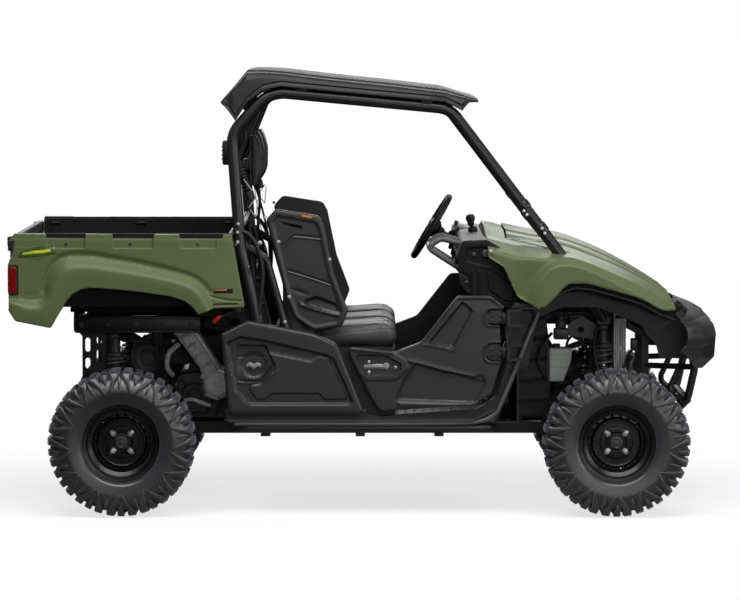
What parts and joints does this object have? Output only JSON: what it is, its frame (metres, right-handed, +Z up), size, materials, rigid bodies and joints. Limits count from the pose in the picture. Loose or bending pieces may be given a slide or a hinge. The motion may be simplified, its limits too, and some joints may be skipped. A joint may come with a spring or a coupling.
{
  "type": "side by side utility vehicle",
  "caption": "Open utility vehicle with a bench for three, half doors, a roof over a tube cage, a tipping cargo bed with a tailgate, and long-travel wheels with lugged tyres.",
  "frame": {"origin": "on the ground, at the centre of the vehicle's length and width", "axes": "+X forward, +Y to the driver's left, +Z up"},
  "size_m": [3.097, 1.57, 1.925],
  "materials": {
    "frame": "satin",
    "suspension": "satin",
    "casting": "rough",
    "alloy": "cast",
    "steel": "satin",
    "tank": "translucent",
    "trim": "grained",
    "grip": "matt",
    "seat": "grained",
    "belt": "woven",
    "body": "semi-matt",
    "lamp_clear": "clear",
    "lamp_red": "clear",
    "tyre": "matt",
    "rim": "satin"
  },
  "bodies": {
    "chassis": {"main_frame": "frame", "side_bars": "frame", "skid_plate": "frame", "rear_subframe": "frame", "front_subframe": "frame", "hitch_receiver": "frame", "front_control_arms": "suspension", "rear_control_arms": "suspension", "front_shocks": "suspension", "rear_shocks": "suspension", "front_driveline": "casting", "rear_driveline": "casting", "steering_column": "casting", "engine": "alloy", "exhaust": "steel", "coolant_tank": "tank", "radiator": "alloy", "bumper_guard": "frame", "cage_sides": "frame", "cage_cross_tubes": "frame", "roof": "trim", "floor_tub": "trim", "seat_box": "trim", "door_jambs": "trim", "door_hinges": "frame", "side_covers": "trim", "seat_cushions": "seat", "seat_backs": "seat", "shoulder_guards": "trim", "head_pads": "seat", "seat_belts": "belt", "dash": "trim", "grab_bar": "grip", "front_fenders": "body", "front_fascia": "trim", "headlamps": "lamp_clear", "wheel_liners": "trim"},
    "knuckle_left": {"knuckle_left": "casting"},
    "knuckle_right": {"knuckle_right": "casting"},
    "wheel_front_left": {"tyre_front_left": "tyre", "rim_front_left": "rim"},
    "wheel_front_right": {"tyre_front_right": "tyre", "rim_front_right": "rim"},
    "wheel_rear_left": {"tyre_rear_left": "tyre", "rim_rear_left": "rim"},
    "wheel_rear_right": {"tyre_rear_right": "tyre", "rim_rear_right": "rim"},
    "steering_rack": {"tie_rods": "suspension"},
    "steering_wheel": {"steering_wheel": "grip"},
    "door_left": {"door_left": "trim"},
    "door_right": {"door_right": "trim"},
    "hood": {"hood": "body"},
    "cargo_bed": {"bed_tub": "trim", "bed_sides": "body", "tail_lamps": "lamp_red"},
    "tailgate": {"tailgate": "body"}
  },
  "joints": [
    {"name": "steer_left", "type": "hinge", "parent": "chassis", "child": "knuckle_left", "pos_m": [1.085, 0.575, 0.319], "axis": [0, 0, 1], "range_deg": [-30, 30]},
    {"name": "steer_right", "type": "hinge", "parent": "chassis", "child": "knuckle_right", "pos_m": [1.085, -0.575, 0.319], "axis": [0, 0, 1], "range_deg": [-30, 30]},
    {"name": "spin_front_left", "type": "hinge", "parent": "knuckle_left", "child": "wheel_front_left", "pos_m": [1.085, 0.6825, 0.319], "axis": [0, 1, 0], "continuous": true},
    {"name": "spin_front_right", "type": "hinge", "parent": "knuckle_right", "child": "wheel_front_right", "pos_m": [1.085, -0.6825, 0.319], "axis": [0, 1, 0], "continuous": true},
    {"name": "spin_rear_left", "type": "hinge", "parent": "chassis", "child": "wheel_rear_left", "pos_m": [-1.05, 0.6575, 0.319], "axis": [0, 1, 0], "continuous": true},
    {"name": "spin_rear_right", "type": "hinge", "parent": "chassis", "child": "wheel_rear_right", "pos_m": [-1.05, -0.6575, 0.319], "axis": [0, 1, 0], "continuous": true},
    {"name": "rack_slide", "type": "slide", "parent": "chassis", "child": "steering_rack", "axis": [0, 1, 0], "range_m": [-0.056, 0.056]},
    {"name": "steering_turn", "type": "hinge", "parent": "chassis", "child": "steering_wheel", "pos_m": [0.304, 0.33, 1.197], "axis": [0.8572, 0, -0.515], "range_deg": [-240, 240]},
    {"name": "door_left_swing", "type": "hinge", "parent": "chassis", "child": "door_left", "pos_m": [0.614, 0.745, 0.788], "axis": [0, 0, -1], "range_deg": [0, 70]},
    {"name": "door_right_swing", "type": "hinge", "parent": "chassis", "child": "door_right", "pos_m": [0.614, -0.745, 0.788], "axis": [0, 0, 1], "range_deg": [0, 70]},
    {"name": "hood_lift", "type": "hinge", "parent": "chassis", "child": "hood", "pos_m": [1.33, 0, 0.898], "axis": [0, 1, 0], "range_deg": [0, 50]},
    {"name": "bed_tip", "type": "hinge", "parent": "chassis", "child": "cargo_bed", "pos_m": [-1.25, 0, 0.878], "axis": [0, -1, 0], "range_deg": [0, 45]},
    {"name": "tailgate_drop", "type": "hinge", "parent": "cargo_bed", "child": "tailgate", "pos_m": [-1.518, 0, 0.936], "axis": [0, -1, 0], "range_deg": [0, 90]}
  ],
  "couplings": [
    {"joint": "steer_right", "follows": "steer_left", "ratio": 1},
    {"joint": "rack_slide", "follows": "steer_left", "m_per_rad": -0.1},
    {"joint": "steering_turn", "follows": "steer_left", "ratio": -7.5}
  ]
}
